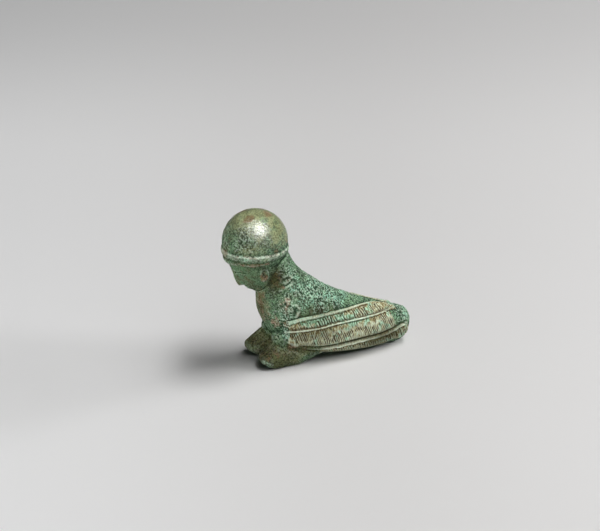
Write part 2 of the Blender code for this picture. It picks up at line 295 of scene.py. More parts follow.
def faceRelief(across, level):
    off = abs(across)
    relief = 0.0
    for height, at, reach, side, width in face.hills:
        relief += height * bump(level - at, reach) * bump(off - side, width)
    browTop = face.browLevel + face.browRise - face.browFall * (off - face.browPeak) ** 2
    ridge = bump(level - browTop, face.browHalfHeight) * bump(off - face.browMiddle, face.browReach)
    relief += face.browHeight * ridge
    u = (off - face.eyeOffset) / face.eyeHalfWidth
    if abs(u) < 1.3:
        opening = max(0.0, 1 - u * u)
        tilt = face.eyeTilt * u
        upper = face.eyeLevel + tilt + face.upperLid * opening ** face.eyeShape
        lower = face.eyeLevel + tilt - face.lowerLid * opening ** face.eyeShape
        ball = max(0.0, min(1.0, (upper - level) / 0.2, (level - lower) / 0.2))
        swell = face.eyeRound * bump(level - face.eyeLevel, face.eyeReach) + face.eyeBall * ball
        relief += face.eyeBulge * math.sqrt(opening) * swell
        edge = smoothStep(1.3, 0.9, abs(u))
        relief += face.lidHeight * edge * bump(level - upper, face.lidHalfWidth)
        relief += 0.7 * face.lidHeight * edge * bump(level - lower, face.lidHalfWidth)
    fall = (face.browLevel - level) / (face.browLevel - face.noseBaseLevel)
    if face.noseFrom < fall < 1 + face.noseUnderside:
        bridge = face.noseHeight * math.sin(face.noseArch * max(0.0, min(fall, 1.0)))
        bridge += face.noseRoot * smoothStep(face.noseFrom, 0.1, fall)
        bridge *= min(1.0, (1 + face.noseUnderside - fall) / face.noseUnderside)
        relief += bridge * bump(off, face.noseRootWidth + face.noseSpread * max(0.0, fall))
    mouth = face.mouthLevel + face.mouthLift * (off / face.mouthHalfWidth) ** 2
    cut = bump(level - mouth, face.mouthHalfHeight) * smoothStep(*face.mouthEnds, off)
    return relief - face.mouthCut * cut


def faceShape():
    shape = newSphere(120, 110)
    for vert in shape.verts:
        height = math.copysign(abs(vert.co.z) ** face.levelSpread, vert.co.z)
        level = 0.5 * face.length * (1 + height)
        girth = max(1e-6, math.hypot(vert.co.x, vert.co.y))
        full = girth ** face.fullness / girth
        across = vert.co.x * full * face.halfWidth * jawWidth(level)
        ahead = -vert.co.y * full
        relief = faceRelief(across, level) * min(1.0, face.turnIn * ahead) if ahead > 0 else 0.0
        vert.co = (across, -ahead * face.depth - relief, level)
    bmesh.ops.rotate(shape, verts=shape.verts, cent=(0, 0, 0), matrix=Matrix.Rotation(face.bow, 3, "X"))
    bmesh.ops.translate(shape, verts=shape.verts, vec=face.root)
    return shape


# Legs and feet: each row of the foot gives y, the middle's x, half-width, sole and top.
foot = SimpleNamespace(
    legCentre=(3.5, 2.4, 6.3), legHalfAxes=(3.2, 3.7, 5.0),
    sections=(
        (-3.3, 4.0, 2.3, 1.2, 3.4),
        (-2.4, 3.95, 2.8, 0.5, 4.3),
        (-1.0, 3.95, 3.0, 0.0, 5.5),
        (0.6, 3.95, 3.0, 0.0, 6.8),
        (2.6, 3.95, 2.8, 0.0, 7.4),
        (4.8, 3.9, 2.5, 0.0, 6.6),
        (7.2, 3.8, 2.2, 0.8, 5.2),
        (9.6, 3.6, 1.9, 1.6, 4.2),
    ),
    toeCap=0.9, heelCap=1.6, capShare=0.22, widest=0.42, soleFlatness=1.25,
    leftReach=0.4,  # the toes' reach past the sections
    rightReach=1.0, reachFrom=4.0, reachTo=-3.0,
)


def footShape(reach):  # the toes reach further forward by the given amount
    shape = newSphere(72, 72)
    for vert in shape.verts:
        share, turn = onSphere(vert)
        rise, side = math.cos(turn), math.sin(turn)
        at, size, past = capped(share, foot.capShare, len(foot.sections) - 1)
        y, x, halfWidth, sole, top = spline(foot.sections, at)
        y += past * (foot.heelCap if share > 0.5 else -foot.toeCap)
        y -= reach * smoothStep(foot.reachFrom, foot.reachTo, y)
        middle = sole + foot.widest * (top - sole)
        if rise >= 0:
            z = middle + (top - middle) * rise * size
        else:
            z = middle - (middle - sole) * min(1.0, -foot.soleFlatness * rise) * size
        vert.co = (x + halfWidth * side * size, y, max(0.0, z))
    bmesh.ops.recalc_face_normals(shape, faces=shape.faces)
    return shape


def mirrored(shape):
    copy = shape.copy()
    bmesh.ops.scale(copy, vec=(-1, 1, 1), verts=copy.verts)
    bmesh.ops.reverse_faces(copy, faces=copy.faces)
    return copy


def castSkin(shapes):  # one closed skin over all the forms
    joined = bmesh.new()
    for shape in shapes:
        part = bpy.data.meshes.new("form")
        shape.to_mesh(part)
        shape.free()
        joined.from_mesh(part)
        bpy.data.meshes.remove(part)
    forms = newObject(joined, "forms")
    remesh = forms.modifiers.new("one skin", "REMESH")
    remesh.mode = "VOXEL"
    remesh.voxel_size = figure.skinGrain
    skin = bmesh.new()
    skin.from_mesh(evaluatedMesh(forms))
    bpy.data.objects.remove(forms)
    for _ in range(figure.softenings):
        bmesh.ops.smooth_vert(
            skin, verts=skin.verts, factor=0.5, use_axis_x=True, use_axis_y=True, use_axis_z=True)
    return skin


ear = ellipsoid(head.earCentre, head.earHalfAxes, 40, 30)
leg = ellipsoid(foot.legCentre, foot.legHalfAxes, 60, 40)
leftFoot, rightFoot = footShape(foot.leftReach), mirrored(footShape(foot.rightReach))
skin = castSkin([
    bodyShape(), ellipsoid(head.centre, head.halfAxes, 140, 100), faceShape(),
    rollShape(head.fillet), rollShape(head.hairRoll),
    mirrored(ear), ear, mirrored(leg), leg, rightFoot, leftFoot,
])
print("skin:", len(skin.verts), "points")


def refined(shape, inside):  # halves the faces of one region
    faces = [f for f in shape.faces if inside(f.calc_center_median())]
    edges = list({edge for f in faces for edge in f.edges})
    bmesh.ops.subdivide_edges(shape, edges=edges, cuts=1, use_grid_fill=True)


def onFace(point):  # place on the face's own axes: offset, depth and level
    across, depth, level = Matrix.Rotation(-face.bow, 3, "X") @ (Vector(point) - Vector(face.root))
    return across, -depth, level


def nearMask(point):
    across, depth, level = onFace(point)
    lowest, highest = face.fineLevels
    return lowest < level < highest and depth > face.fineDepth and abs(across) < face.fineHalfWidth


def nearEar(point):
    away = Vector((abs(point.x), point.y, point.z)) - Vector(head.earCentre)
    return away.length < 2.3 and abs(point.x) > 4.4


def carveFace(shape):  # draws the skin on to the mask, where it is near it
    turn = Matrix.Rotation(face.bow, 3, "X")
    for vert in shape.verts:
        across, depth, level = onFace(vert.co)
        if not (0.2 < level < 12 and depth > 0.5):
            continue
        egg = eggDepth(across, level)
        ahead = egg / face.depth
        target = egg + faceRelief(across, level) * min(1.0, face.turnIn * ahead)
        weight = smoothStep(*face.maskEdge, ahead) * smoothStep(*face.maskReach, abs(depth - target))
        depth += weight * (target - depth)
        vert.co = turn @ Vector((across, -depth, level)) + Vector(face.root)


def carveEars(shape):
    rimHeight, rimPlace, rimWidth = head.earRim
    bowlDepth, bowlWidth = head.earBowl
    lobeHeight, lobeWidth = head.earLobe
    for vert in shape.verts:
        side = math.copysign(1.0, vert.co.x)
        y = (vert.co.y - head.earCentre[1]) / head.earHalfAxes[1]
        z = (vert.co.z - head.earCentre[2]) / head.earHalfAxes[2]
        out = math.hypot(y, z)
        if out > head.earReach or abs(vert.co.x) < head.earFrom:
            continue
        rim = rimHeight * bump(out - rimPlace, rimWidth) * smoothStep(-0.7, 0.1, z + 0.5 * y)
        bowl = bowlDepth * bump(math.hypot(y + 0.1, z - 0.15), bowlWidth)
        lobe = lobeHeight * bump(math.hypot(y + 0.15, z + 0.72), lobeWidth)
        vert.co.x += side * (rim - bowl + lobe)


refined(skin, nearMask)
refined(skin, nearEar)
carveFace(skin)
carveEars(skin)
print("face and ears carved:", len(skin.verts), "points")


# Wings: three bands of feathers on each flank. A row gives a place along the body (y) and the
# angles, in degrees above the level, at which the lower, middle and upper ridge lie.
wing = SimpleNamespace(
    lines=(
        (0.8, -26, 10, 26),
        (5.0, -25, 13, 31),
        (9.0, -23, 16, 35),
        (13.0, -18, 22, 41),
        (17.0, -13, 27, 49),
        (21.0, -9, 33, 62),
        (25.0, -6, 43, 76),
        (29.0, 4, 60, 81),
        (33.0, 26, 74, 84),
    ),
    axisFront=8.2, axisFall=0.11, front=0.8, lastPlace=33.0, lowerEdge=-50, lowestDrop=0.56,
    tips=(29.8, 28.0, 32.6),  # upper, middle and lower band
    thickness=0.32, swell=0.10, slant=0.40,
    crestEnd=24.5,  # where the upper ridge dies out
    legEnd=9.0,  # the lowest band starts behind the leg
    ridges=((0.27, 0.19), (0.28, 0.19), (0.38, 0.26)),  # height and half-width
    strokePitches=(0.66, 0.48, 0.58), strokeDepth=0.26, strokeSway=0.45,
    strokeFrom=0.38,  # how far under the ridge the strokes start
    strokeUneven=(0.95, 1.3),  # a stroke's depth: its mean share, and how it varies
    strokeWidths=(0.26, 0.10),  # its half-width in pitches, in the same way
    strokeBreaks=(-0.30, 0.02), strokeWear=(-0.5, -0.1), wearSize=3.2,
    stripFrom=11.8,  # the middle band's plain strip over its strokes
    stripTo=25.0, stripWidth=1.9, stripGap=0.15,
    columnWidth=0.09, rootDepth=1.2, restRows=12,
    ridgeRows=(-0.80, -0.55, -0.38, -0.25, -0.12, 0.0, 0.12, 0.25, 0.38, 0.52),
    tipRoundness=0.9, edgeSink=0.18, ridgeUneven=0.6,
    overDrop=0.75,  # how far the plate dips over its ridge and under its foot
    underDrop=0.42,
    paintFade=1.2,  # length of the bands' soft front ends
    paintShort=0.2, ridgeFade=4,
    ridgePaint=(-0.03, 0.58),  # place, and share of the ridge's half-width
    creasePaint=(-0.48, 0.24),  # place and half-width
    farWear=9,  # the upper ridge dies out sooner on the far side by this
)
flank = BVHTree.FromBMesh(bodyShape())


def wingAxis(y):
    return Vector((0, y, wing.axisFront - wing.axisFall * y))


def flankReach(y):
    hit = flank.ray_cast(wingAxis(y) + Vector((30, 0, 0)), Vector((-1, 0, 0)))[0]
    return hit.x if hit else 1.0


def bandLine(band, y):  # crest angle in degrees, reach, and the band's length down to its foot
    rows = wing.lines
    place = sum(min(1.0, max(0.0, (y - a[0]) / (b[0] - a[0]))) for a, b in zip(rows, rows[1:]))
    lower, middle, upper = spline(rows, place)[1:]
    reach = flankReach(y)
    lowest = lower - math.degrees(wing.lowestDrop / reach)
    crest, base = ((upper, middle), (middle, lower), (lowest, wing.lowerEdge))[band]
    return crest, reach, math.radians(crest - base) * reach


def strokeGroove(band, along, y, down, length):
    start = wing.strokeFrom
    if band == 1 and wing.stripFrom < y < wing.stripTo:
        start = wing.stripWidth + wing.stripGap
    sway = noise.noise(Vector((along * 0.9, down * 0.5, band * 7.0)))
    phase = along / wing.strokePitches[band] + wing.strokeSway * sway
    stroke = math.floor(phase)
    own = noise.noise(Vector((stroke * 1.7, band * 5.3, 0.5)))
    other = noise.noise(Vector((stroke * 2.3, band * 3.1, 8.5)))
    depth = max(0.0, wing.strokeDepth * varied(wing.strokeUneven, own))
    mask = smoothStep(start + 0.5 * other, start + 0.5 * other + 0.3, down)
    mask *= smoothStep(length - 0.2, length - 0.7 + 0.7 * own, down)
    worn = noise.noise(Vector((along, down * 1.6, band * 4.0)) / wing.wearSize)
    mask *= 0.5 + 0.5 * smoothStep(*wing.strokeWear, worn)
    broken = noise.noise(Vector((along * 0.6, down * 0.45, band * 11.0)))
    mask *= 0.2 + 0.8 * smoothStep(*wing.strokeBreaks, broken)
    return depth * mask * bump(phase - stroke - 0.5 - 0.2 * other, varied(wing.strokeWidths, own))


def featherHeight(band, along, y, down, length):
    middle = 2 * down / max(length, 0.1) - 1
    tip = wing.tips[band] - wing.tipRoundness * abs(middle) ** 3
    fade = smoothStep(-0.2, 0.8, min(y - wing.front + 0.3, tip - along))
    crestFade = 1 - smoothStep(wing.crestEnd - 4, wing.crestEnd, y) if band == 0 else 1.0
    height = wing.thickness * fade - wing.edgeSink * (1 - fade)
    ridge, halfWidth = wing.ridges[band]
    ridge *= 1 + wing.ridgeUneven * noise.noise(Vector((along * 0.8, band * 9.0, 3.3)))
    height += ridge * crestFade * fade * bump(down, halfWidth)
    height += wing.swell * fade * max(0.0, 1 - middle * middle)
    height -= fade * strokeGroove(band, along, y, down, length)
    over = smoothStep(-0.30, -0.75, down)
    under = smoothStep(length - 0.35, length + 0.05, down)
    return height - wing.overDrop * over - wing.underDrop * under


def bandShape(band):
    ridgeRows, restRows = wing.ridgeRows, wing.restRows
    rowCount = len(ridgeRows) + restRows
    start = wing.front - 0.9
    end = wing.tips[band] + 0.5
    columns = round((end - start) / wing.columnWidth)
    shape = bmesh.new()
    bmesh.ops.create_grid(shape, x_segments=columns, y_segments=rowCount - 1, size=1.0)
    skinFaces = shape.faces[:]
    places = {}
    for vert in shape.verts:
        along = start + (end - start) * 0.5 * (vert.co.x + 1)
        row = rowCount - 1 - round((vert.co.y + 1) * 0.5 * (rowCount - 1))
        y = along
        for _ in range(3):
            crest, reach, length = bandLine(band, y)
            if row < len(ridgeRows):
                down = ridgeRows[row]
            else:
                down = ridgeRows[-1] + (length + 0.3 - ridgeRows[-1]) * (row + 1 - len(ridgeRows)) / restRows
            y = min(along + wing.slant * max(0.0, down), wing.lastPlace)
        angle = math.radians(crest) - down / reach
        away = Vector((math.cos(angle), 0, math.sin(angle)))
        hit = flank.ray_cast(wingAxis(y) + 30 * away, -away)[0] or wingAxis(y)
        places[vert] = (hit, away, featherHeight(band, along, y, down, length))
    inner = bmesh.ops.duplicate(shape, geom=shape.verts[:] + shape.edges[:] + skinFaces)
    for vert, (hit, away, height) in places.items():
        vert.co = hit + away * height
        inner["vert_map"][vert].co = hit - away * wing.rootDepth
    rims = [edge for edge in shape.edges if edge.is_boundary]
    bmesh.ops.bridge_loops(shape, edges=rims)
    bmesh.ops.recalc_face_normals(shape, faces=shape.faces)
    return shape


def cleanSkin(mesh):  # closes slivers and keeps only what hangs together with the highest point
    shape = bmesh.new()
    shape.from_mesh(mesh)
    bmesh.ops.dissolve_degenerate(shape, dist=figure.leastEdge, edges=shape.edges)
    bmesh.ops.triangulate(shape, faces=[side for side in shape.faces if len(side.verts) > 3])
    bmesh.ops.delete(shape, geom=[edge for edge in shape.edges if not edge.link_faces], context="EDGES")
    ahead = [max(shape.verts, key=lambda vert: vert.co.z)]
    reached = set(ahead)
    while ahead:
        vert = ahead.pop()
        beyond = {edge.other_vert(vert) for edge in vert.link_edges} - reached
        reached |= beyond
        ahead.extend(beyond)
    bmesh.ops.delete(shape, geom=[vert for vert in shape.verts if vert not in reached], context="VERTS")
    shape.to_mesh(mesh)
    shape.free()


statuette = newObject(skin, "cast_bronze_siren")
for band in range(3):
    left = bandShape(band)
    right = mirrored(left)
    for side, shape in (("left", left), ("right", right)):
        plate = newObject(shape, side + " feathers " + str(band))
        union = statuette.modifiers.new(plate.name, "BOOLEAN")
        union.operation = "UNION"
        union.solver = "MANIFOLD"
        union.object = plate
fused = evaluatedMesh(statuette)
statuette.modifiers.clear()
for thing in [o for o in bpy.data.objects if " feathers " in o.name]:
    bpy.data.objects.remove(thing)
cleanSkin(fused)
statuette.data = fused
triangles = sum(len(polygon.vertices) - 2 for polygon in fused.polygons)
print("wings joined:", len(fused.vertices), "points,", triangles, "triangles")


# Small raised (+) and cut (-) marks of the left side, repeated on the right: half-width, height
# and the places that each runs through.
marks = {
    "shoulder curl": (0.29, 0.28, ((6.3, 2.7, 15.6), (6.4, 3.6, 15.6), (6.7, 4.2, 14.8))),
    "shoulder knob": (0.38, 0.28, ((6.9, 4.0, 13.9), (7.0, 3.4, 13.1))),
    "shoulder hollow": (0.60, -0.22, ((6.7, 3.1, 14.6), (6.9, 3.0, 13.7))),
    "scroll top": (0.28, 0.26, ((6.1, 0.6, 12.4), (6.5, 1.3, 12.3), (6.9, 1.7, 11.5))),
    "scroll foot": (0.28, 0.26, ((6.2, 0.7, 10.9), (6.6, 1.3, 10.8), (6.9, 2.0, 10.5))),
    "crust": (0.60, 0.16, ((6.2, 1.2, 9.6), (6.1, 1.4, 8.3))),
    "crust pit": (0.30, -0.30, ((5.9, 0.7, 7.7),)),
    "hock hollow": (
        0.50, -0.26, ((6.3, 1.2, 6.2), (6.5, 1.6, 5.9), (6.6, 2.2, 5.2), (6.4, 3.1, 4.5), (6.2, 3.9, 4.2))),
    "hock rim": (0.35, 0.12, ((6.5, 1.6, 6.5), (6.6, 2.5, 5.9), (6.3, 4.1, 5.3), (6.0, 5.7, 4.7))),
    "shin ridge": (0.34, 0.12, ((6.0, -0.7, 4.8), (5.9, 0.1, 5.5), (6.1, 0.8, 6.3))),
    "nape strand 1": (0.28, 0.13, ((4.5, 0.8, 21.7), (4.4, 1.6, 22.3), (4.1, 2.5, 22.8))),
    "nape strand 2": (0.28, 0.14, ((4.7, 1.5, 20.6), (4.5, 2.6, 21.1), (4.1, 3.4, 21.5))),
    "nape strand 3": (0.30, 0.16, ((4.6, 0.1, 19.0), (4.8, 1.5, 19.7), (4.6, 3.0, 20.1))),
    "nape strand 4": (0.28, 0.12, ((4.8, 1.2, 19.7), (4.7, 2.2, 20.3), (4.4, 3.3, 20.7))),
    "nape strand 5": (0.26, 0.10, ((4.2, 2.2, 22.6), (3.8, 3.1, 23.1))),
    "nape cut": (0.26, -0.16, ((4.6, 0.3, 20.0), (4.6, 1.7, 20.2), (4.5, 2.6, 20.6))),
    "nape pit": (0.40, -0.35, ((4.2, 3.4, 21.2), (4.1, 3.9, 20.9))),
    "neck furrow": (0.9, -0.22, ((4.3, -1.8, 23.0), (4.4, -1.0, 20.5), (4.6, -0.6, 18.6))),
    "breast stroke 1": (0.40, -0.12, ((1.2, -2.6, 12.2), (1.7, -2.0, 10.0), (2.2, -1.2, 8.2))),
    "breast stroke 2": (0.40, -0.12, ((2.6, -2.4, 12.0), (3.1, -1.6, 9.8), (3.5, -0.7, 8.2))),
    "breast stroke 3": (0.40, -0.10, ((4.0, -1.8, 12.0), (4.5, -0.9, 9.8), (4.8, 0.0, 8.4))),
    "toe groove 1": (0.36, -0.15, ((3.3, -3.9, 1.6), (3.3, -3.6, 3.3), (3.3, -2.2, 5.0), (3.4, -0.6, 6.3))),
    "toe groove 2": (0.36, -0.15, ((4.9, -3.9, 1.6), (4.9, -3.6, 3.3), (4.9, -2.2, 5.0), (4.8, -0.6, 6.3))),
}

# Where the surface is pitted, crusted, coloured or glossy, on both sides. Each patch gives its
# centre, its reach along x, y and z, and its strength.
zones = {
    "pitted": (
        (0, 10, 16, 9, 11, 6, 1), (0, 31, 7, 6, 4, 5, 0.9), (4, 2, 22, 3, 4, 5, 0.8),
        (5.5, 2, 14, 3, 5, 5, 0.9), (6.5, 14, 13, 3, 8, 3, 1), (4.6, -8, 33, 3.2, 3.6, 2.8, 1),
        (0, -10.5, 32, 3, 2.5, 3, 0.7), (6.2, -4.6, 32.4, 1.4, 2, 1.2, 0.9),
        (4.5, -3.4, 2, 3.5, 2.4, 2, 0.8), (3, -8, 25, 4, 3, 4, 0.1),
    ),
    "crust": (
        (0, 10, 16.4, 9, 11, 5.2, 1), (0, 31, 7, 5, 3.2, 4, 0.7),
        (6.1, 1.1, 8.8, 1.4, 1, 1.8, 1.3), (6, 2, 14.5, 2.2, 3, 3, 0.8),
        (6.1, 17.5, 9.2, 1.6, 5, 0.9, 0.9), (4, 4, 20, 3, 3, 4, 0.8),
        (4.8, -3.6, 1.4, 3.4, 2, 1.7, 1.1), (6.9, 7, 11.6, 1.5, 5.5, 1.2, 0.9),
        (5, -8.5, 32, 3, 3, 2.6, 0.35), (5.5, 14, 10.4, 2.5, 9, 1.2, 0.9), (4, -8, 29, 5, 4, 0.9, 0.6),
    ),
    "brown": (
        (2.3, -6.4, 37, 1.1, 1.6, 1.7, 1.1), (1.7, -1.6, 37.4, 1.5, 1.3, 1.2, 0.9),
        (4.2, 2.2, 31, 0.9, 1, 1.1, 0.7), (6.5, -1.2, 29.8, 1.2, 1.6, 0.6, 0.8),
        (0.8, -11.3, 28.9, 1.6, 1.3, 1.6, 0.9), (5.7, -8.2, 29.3, 0.7, 0.8, 0.5, 1),
        (5.6, -6, 27.1, 2.5, 4, 0.7, 0.8), (5.9, -4.1, 23.6, 0.8, 1.1, 1.4, 0.9),
        (4.4, 2.2, 21, 1.2, 2, 2.2, 0.45), (4.5, 0.3, 20, 1, 1.6, 0.6, 0.8),
        (1.8, -3.4, 15, 2, 1.6, 7, 0.6), (6.5, 2.6, 4.8, 1.2, 2, 1, 0.7),
        (5.8, -1, 3, 1.6, 3, 1.6, 0.6), (6.3, 1.2, 11.4, 0.8, 0.9, 1.2, 0.9),
        (6.4, 1, 16.2, 1.6, 2, 2.4, 0.6), (4, -2.8, 13, 2, 1.4, 5, 0.4),
        (5.2, -1.8, 11, 1.5, 2, 3, 0.6), (6.8, 3.9, 13.6, 0.6, 0.7, 0.7, 1),
    ),
    "olive": (
        (0, -3, 35, 9, 9, 8, 1), (5.5, -7, 31, 3, 4, 2.5, 0.7), (4, 0, 3, 4, 6, 4, 1),
        (0, -8, 23, 6, 4, 4, 0.45), (2, -3, 15, 5, 3, 8, 0.6), (5, 6, 4, 3, 6, 2, 0.8),
    ),
    "gloss": ((0, -3, 35.5, 8, 8, 5, 1.6),),
    "calm": (
        (0, -9, 23.5, 8, 5.5, 6.5, 1.3), (4, 0.5, 20, 3, 3.5, 4, 0.45),
        (6.2, 2, 15.8, 2, 3, 3.4, 0.7), (3, -2.8, 13, 3, 1.6, 5, 0.6), (0, 8, 19, 4, 9, 3, 0.25),
    ),
    # dark dull patina on the feet, legs and bands, and painted shade under the head, on the crown's left and
    # under the tail
    "dull": (
        (4, -1, 2.5, 5, 6, 3.6, 1.3), (4, 6, 4, 4, 5, 1.8, 1.2), (4.2, -0.8, 21.8, 2.2, 2, 2.8, 1.2),
        (5, -6.5, 24.5, 3.5, 3.5, 3.6, 0.35), (5.6, 25.5, 3.7, 3.5, 7, 2, 0.9),
        (7, 8, 8, 1.5, 5.5, 1.5, 0.6), (0, -3.3, 16, 2, 1.5, 8, 0.3),
        (6.4, 9.5, 13.5, 2.2, 6, 1.8, 0.8), (6.3, 17, 8.4, 1.6, 5, 0.7, 0.3),
        (4.5, -9, 34.3, 2.8, 2.8, 2.2, 0.4), (5.5, -6.4, 31.9, 1.5, 3.4, 1.2, 0.65),
        (2.4, -3.6, 15.5, 2.2, 1.6, 6, 0.5),
    ),
}


def segmentDistance(places, start, end):
    start, end = np.array(start), np.array(end)
    line = end - start
    share = np.clip((places - start) @ line / max(line @ line, 1e-9), 0, 1)
    return np.linalg.norm(places - start - share[:, None] * line, axis=1)


def onLeft(places):  # the right side's points, folded over on to the left
    folded = places.copy()
    folded[:, 0] = np.abs(folded[:, 0])
    return folded


def markHeight(places):
    folded = onLeft(places)
    height = np.zeros(len(places))
    for halfWidth, rise, route in marks.values():
        pairs = list(zip(route, route[1:])) or [(route[0], route[0])]
        away = np.min([segmentDistance(folded, a, b) for a, b in pairs], axis=0)
        height += rise * bumps(away, 0, halfWidth)
    return height


def zoneStrength(places, name):
    folded = onLeft(places)
    strength = np.zeros(len(places))
    for patch in zones[name]:
        away = np.linalg.norm((folded - np.array(patch[:3])) / np.array(patch[3:6]), axis=1)
        strength = np.maximum(strength, patch[6] * np.exp(-away ** 2))
    return np.clip(strength, 0, 1)


def featherMarks(places):  # how far each point is on a band, on a ridge, and in the crease over one
    y = np.clip(places[:, 1], 0, wing.lastPlace)
    angle = np.arctan2(places[:, 2] - wing.axisFront + wing.axisFall * y, np.abs(places[:, 0]))
    stations = np.arange(0, wing.lastPlace + 0.5, 0.5)
    onBand, onRidge, inCrease = np.zeros(len(y)), np.zeros(len(y)), np.zeros(len(y))
    for band, tip in enumerate(wing.tips):
        lines = np.array([bandLine(band, s) for s in stations])
        crest, reach, length = (np.interp(y, stations, lines[:, i]) for i in range(3))
        down = (np.radians(crest) - angle) * reach
        along = y - wing.slant * np.maximum(0, down)
        first = wing.legEnd if band == 2 else wing.front
        inReach = np.clip((y - first) / wing.paintFade, 0, 1) * (along < tip - wing.paintShort)
        onBand = np.maximum(onBand, inReach * ((down > -0.4) & (down < length)))
        place, share = wing.ridgePaint
        ridge = bumps(down, place, share * wing.ridges[band][1])
        if band == 0:
            left = wing.crestEnd - y - wing.farWear * (places[:, 0] < 0)
            ridge *= np.clip(left / wing.ridgeFade, 0, 1)
        onRidge = np.maximum(onRidge, inReach * ridge)
        # painted shade in the crease over the middle and lowest bands
        if band > 0:
            inCrease = np.maximum(inCrease, inReach * bumps(down, *wing.creasePaint))
    return onBand, onRidge, inCrease


def filletLines(places):  # the worn upper edge of the fillet, painted pale partly as a highlight, and the painted shade under it
    halfWidth, halfLength = head.halfAxes[:2]
    away = np.hypot(places[:, 0] / halfWidth, (places[:, 1] - head.centre[1]) / halfLength)
    front, fade = head.filletFront
    proud = np.clip((away - front) / fade, 0, 1)
    rise = (places[:, 2] - head.fillet.level) / head.fillet.halfHeight
    top = head.filletTopShare * proud * bumps(rise, *head.filletTop)
    return top, proud * bumps(rise, *head.filletShade)


def neighbourMean(values, edges, counts):
    total = np.zeros_like(values)
    for axis in range(values.shape[1]):
        total[:, axis] = np.bincount(edges[:, 0], values[edges[:, 1], axis], len(values))
        total[:, axis] += np.bincount(edges[:, 1], values[edges[:, 0], axis], len(values))
    return total / counts[:, None]


def readVectors(collection, field):
    flat = np.empty(len(collection) * 3)
    collection.foreach_get(field, flat)
    return flat.reshape(-1, 3)


def hollowness(mesh, rounds):  # how far each point lies under its smoothed neighbourhood
    places, normals = readVectors(mesh.vertices, "co"), readVectors(mesh.vertex_normals, "vector")
    edges = np.empty(len(mesh.edges) * 2, dtype=np.int64)
    mesh.edges.foreach_get("vertices", edges)
    edges = edges.reshape(-1, 2)
    counts = np.maximum(1, np.bincount(edges.ravel(), minlength=len(places)))
    smooth = places
    for _ in range(rounds):
        smooth = 0.5 * smooth + 0.5 * neighbourMean(smooth, edges, counts)
    return np.einsum("ij,ij->i", smooth - places, normals)


def noiseAt(places, size, seed):
    offset = Vector((seed * 13.1, seed * 7.7, seed * 3.3))
    return np.array([noise.noise(Vector(p) / size + offset) for p in places])


def pitsAt(places, spacing, share, seed):  # 1 deep in a pit: one pit to a cell, each of its own size
    offset = Vector((seed * 4.1, seed * 9.2, seed * 2.7))
    nearest = np.empty((len(places), 2))
    for index, place in enumerate(places):
        where = Vector(place) / spacing + offset
        distances, centres = noise.voronoi(where + surface.pitRaggedness * noise.noise_vector(1.3 * where))
        nearest[index] = distances[0], 0.5 + 0.5 * noise.cell(centres[0] * 97)
    radius = np.maximum(1e-3, varied(surface.pitRadii, nearest[:, 1]) * share)
    return np.clip(surface.pitSteepness - nearest[:, 0] / radius, 0, 1)


surface = SimpleNamespace(
    # size and seed
    noises={"clusters": (3.6, 4), "cast": (5.0, 1), "wear": (1.1, 2), "crust": (0.45, 3), "lumps": (0.95, 7)},
    castSwell=0.07, wearHeight=0.03, lumpRough=0.13, crustRough=0.11,
    largePits=(1.15, 0.20),  # spacing and depth
    smallPits=(0.66, 0.13),
    largePitShares=(0.25, 0.75),  # share of full size: where sound, and more where pitted
    smallPitShares=(0.15, 0.85),
    pitDepths=(0.10, 0.90), crustShares=(0.15, 0.85),  # depth and roughness in the same way
    pitRadii=(0.12, 0.5), pitSteepness=1.25, pitRaggedness=0.5, leastPitted=0.25, clusterShare=1.1,
    bandSoundness=0.7,  # how far the bands stay free of pits
    markWear=(0.8, 0.9), pitShades=(0.3, 0.9), filletShade=0.34,
    ridgeWear=(0.85, 0.9), filletWear=(0.75, 1.6), knobWear=(0.8, 1.4),
    hollowDepths=(0.05, 0.015),  # full shade at this depth, and less deep on the bands
    valleyDepth=0.20,
)

places, normals = readVectors(fused.vertices, "co"), readVectors(fused.vertex_normals, "vector")
onBand, onRidge, inCrease = featherMarks(places)
clusters, cast, wear, crustGrain, lumps = (noiseAt(places, *kind) for kind in surface.noises.values())
pitted = np.clip(zoneStrength(places, "pitted") * (1 + surface.clusterShare * clusters), 0, 1)
pitted = np.maximum(pitted, surface.leastPitted * (1 - zoneStrength(places, "gloss")))
pitted = pitted * (1 - surface.bandSoundness * onBand)
largePits = pitsAt(places, surface.largePits[0], varied(surface.largePitShares, pitted), 5)
smallPits = pitsAt(places, surface.smallPits[0], varied(surface.smallPitShares, pitted), 6)
marked = markHeight(places)
height = marked * np.clip(varied(surface.markWear, wear), 0.1, 1.4)
height += surface.castSwell * cast * (1 - onBand)
height += surface.wearHeight * wear
height += varied(surface.crustShares, pitted) * surface.crustRough * crustGrain
height += pitted * surface.lumpRough * lumps
pits = surface.largePits[1] * largePits + surface.smallPits[1] * smallPits
height -= varied(surface.pitDepths, pitted) * pits
places += normals * height[:, None]
places[:, 2] = np.maximum(places[:, 2], 0.0)
fused.vertices.foreach_set("co", places.ravel())
fused.update()

